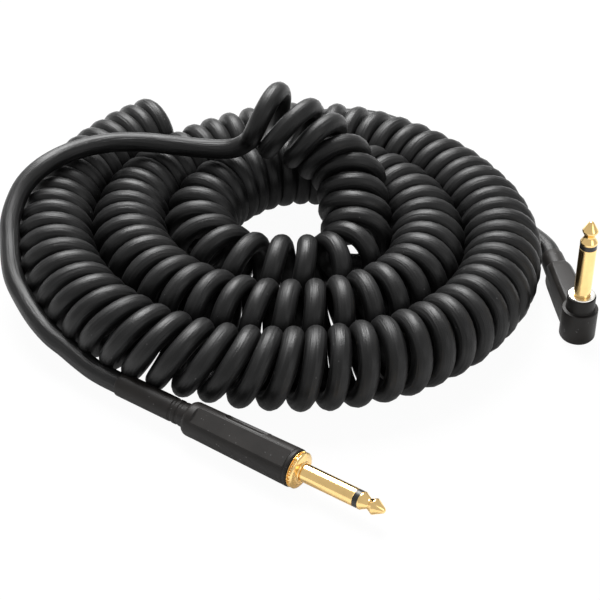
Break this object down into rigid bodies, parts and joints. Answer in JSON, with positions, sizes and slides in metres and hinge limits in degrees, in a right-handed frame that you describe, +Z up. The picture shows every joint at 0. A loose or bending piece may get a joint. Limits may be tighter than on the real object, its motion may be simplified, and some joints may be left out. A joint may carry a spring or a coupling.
{
  "type": "instrument cable",
  "caption": "Coiled instrument cable: a black curly cord lying as a flat spiral, with a straight gold jack plug on one lead and a right-angle gold jack plug on the other.",
  "frame": {"origin": "on the floor, under the upright shaft of the right-angle plug", "axes": "+X from the straight plug's grip towards its tip; +Z up, along the right-angle plug's shaft"},
  "size_m": [0.2285, 0.2193, 0.0628],
  "materials": {
    "gold_plate": "polished",
    "tinned_metal": "satin",
    "solder": "satin",
    "copper_wire": "satin",
    "white_insulator": "matte",
    "liner_plastic": "gloss",
    "black_ring": "gloss",
    "cord_rubber": "satin",
    "plug_rubber": "matte"
  },
  "bodies": {
    "cable": {"straight_tip": "gold_plate", "straight_tip_ring": "black_ring", "straight_rod_insulator": "white_insulator", "straight_shaft": "gold_plate", "straight_collar": "gold_plate", "straight_ground_lug": "tinned_metal", "straight_washer": "white_insulator", "straight_tip_lug": "tinned_metal", "straight_rivet": "gold_plate", "straight_core_wire": "copper_wire", "straight_core_insulation": "white_insulator", "straight_core_solder": "solder", "straight_shield_tail": "copper_wire", "straight_shield_solder": "solder", "straight_cord_end": "cord_rubber", "straight_sleeve": "plug_rubber", "angle_tip": "gold_plate", "angle_tip_ring": "black_ring", "angle_rod_insulator": "white_insulator", "angle_shaft": "gold_plate", "angle_flange": "tinned_metal", "angle_ground_lug": "tinned_metal", "angle_washer": "white_insulator", "angle_tip_lug": "tinned_metal", "angle_rivet": "gold_plate", "angle_core_wire": "copper_wire", "angle_core_insulation": "white_insulator", "angle_core_solder": "solder", "angle_shield_tail": "copper_wire", "angle_shield_solder": "solder", "angle_cord_end": "cord_rubber", "angle_inner_shell": "white_insulator", "angle_housing": "plug_rubber", "straight_lead": "cord_rubber", "curly_cord": "cord_rubber", "angle_lead": "cord_rubber"},
    "liner": {"straight_liner": "liner_plastic"},
    "grip": {"straight_grip": "plug_rubber"}
  },
  "joints": [
    {"name": "grip_travel", "type": "slide", "parent": "cable", "child": "liner", "axis": [-1, 0, 0], "range_m": [0, 0.006]},
    {"name": "grip_turn", "type": "hinge", "parent": "liner", "child": "grip", "pos_m": [-0.06, -0.126, 0.0068], "axis": [-1, 0, 0], "range_deg": [0, 2880]}
  ],
  "couplings": [
    {"joint": "grip_turn", "follows": "grip_travel", "rad_per_m": 8377.6}
  ]
}
